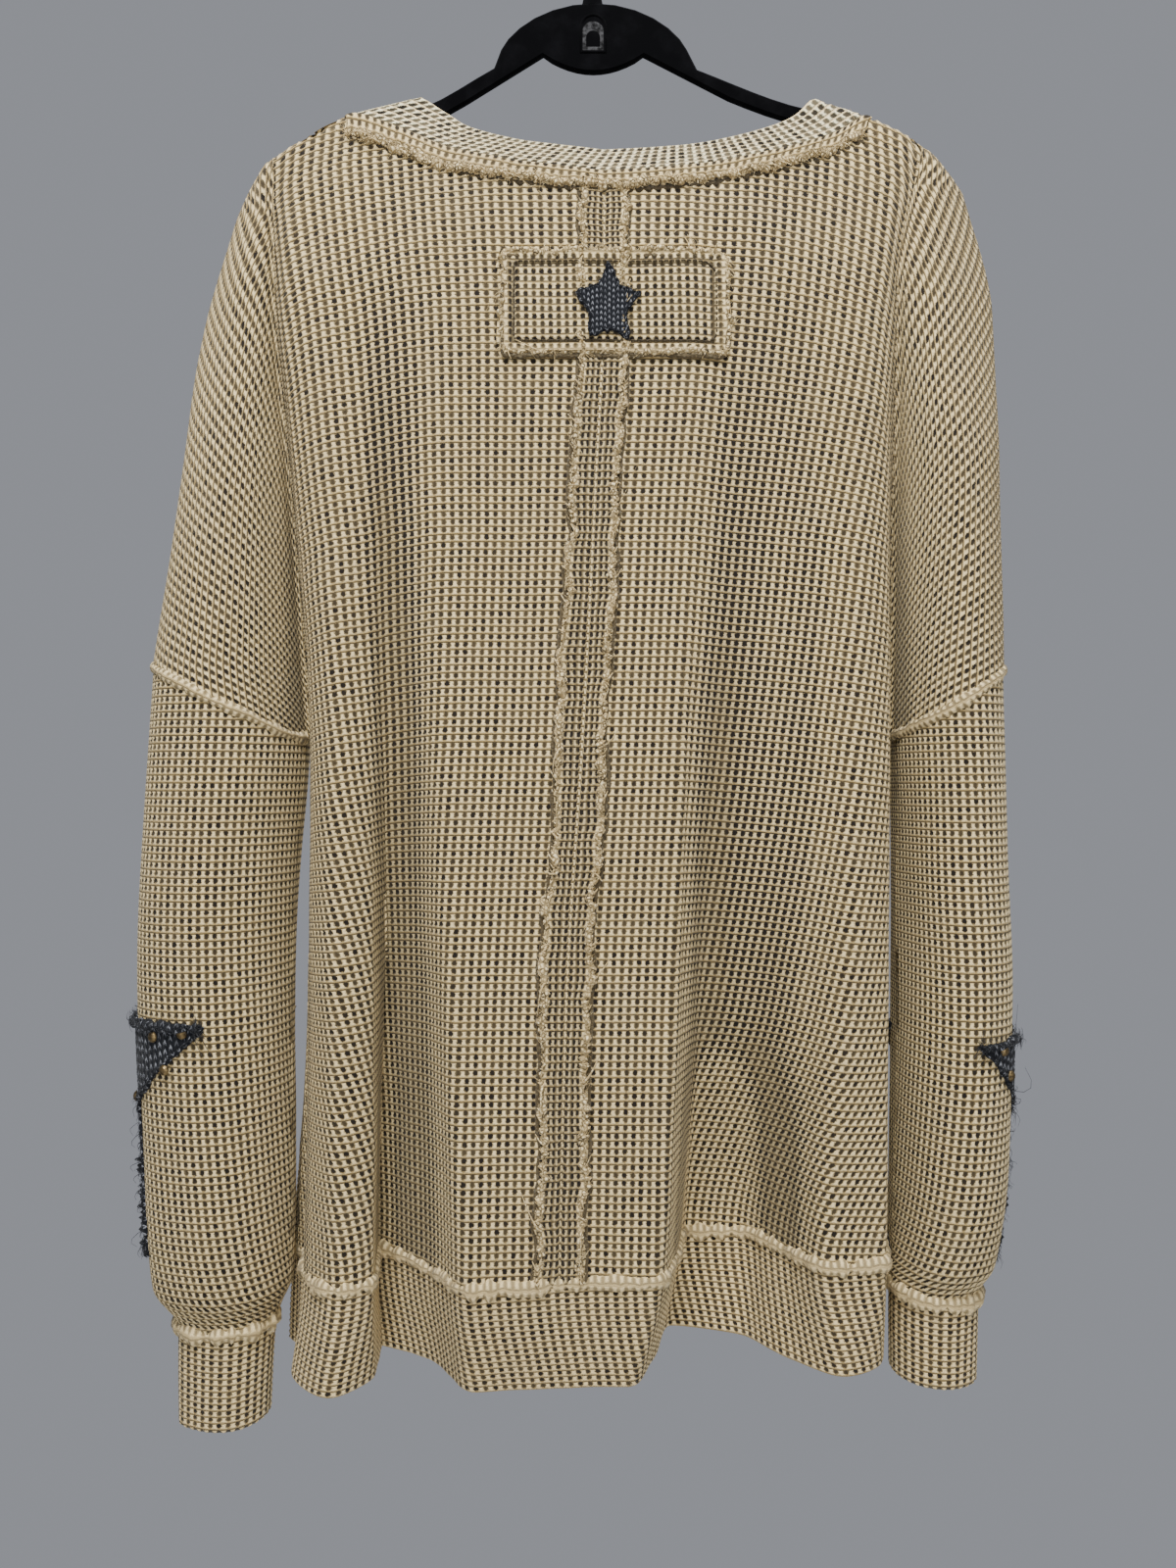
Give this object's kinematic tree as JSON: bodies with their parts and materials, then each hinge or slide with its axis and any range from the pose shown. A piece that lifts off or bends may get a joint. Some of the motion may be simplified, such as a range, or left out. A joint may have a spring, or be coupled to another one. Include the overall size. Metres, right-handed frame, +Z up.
{
  "type": "sweater on hanger",
  "caption": "Oversized waffle-knit pullover with dropped shoulders, raw seam edges and star patches, hung back-first on a slim flocked hanger.",
  "frame": {"origin": "inner top of the hanger's hook, where a rail or nail holds it", "axes": "+Z up, +X to the right as seen from behind the sweater, -Y out of the sweater's back towards the viewer"},
  "size_m": [0.5463, 0.1086, 0.9565],
  "materials": {
    "waffle_knit": "mineral-washed khaki cotton waffle knit, dark in the cells, pale on the ridges",
    "dark_rib_knit": "charcoal rib knit with grey flecks and raw edges",
    "aged_brass": "aged brass",
    "black_flock": "black flocking over moulded plastic",
    "dark_steel": "dark plated steel wire"
  },
  "bodies": {
    "root": {"back_left": "waffle_knit", "back_right": "waffle_knit", "front": "waffle_knit", "hem_band": "waffle_knit", "neckband": "waffle_knit", "neck_edge_back": "waffle_knit", "neck_edge_front": "waffle_knit", "seam_strip_left": "waffle_knit", "seam_strip_right": "waffle_knit", "back_patch": "waffle_knit", "patch_star": "dark_rib_knit", "sleeve_left": "waffle_knit", "sleeve_right": "waffle_knit", "cuff_left": "waffle_knit", "cuff_right": "waffle_knit", "sleeve_star_left": "dark_rib_knit", "sleeve_star_right": "dark_rib_knit", "stud_left_1": "aged_brass", "stud_left_2": "aged_brass", "stud_left_3": "aged_brass", "stud_left_4": "aged_brass", "stud_right_1": "aged_brass", "stud_right_2": "aged_brass", "stud_right_3": "aged_brass", "hanger": "black_flock", "hook": "dark_steel"}
  },
  "joints": []
}
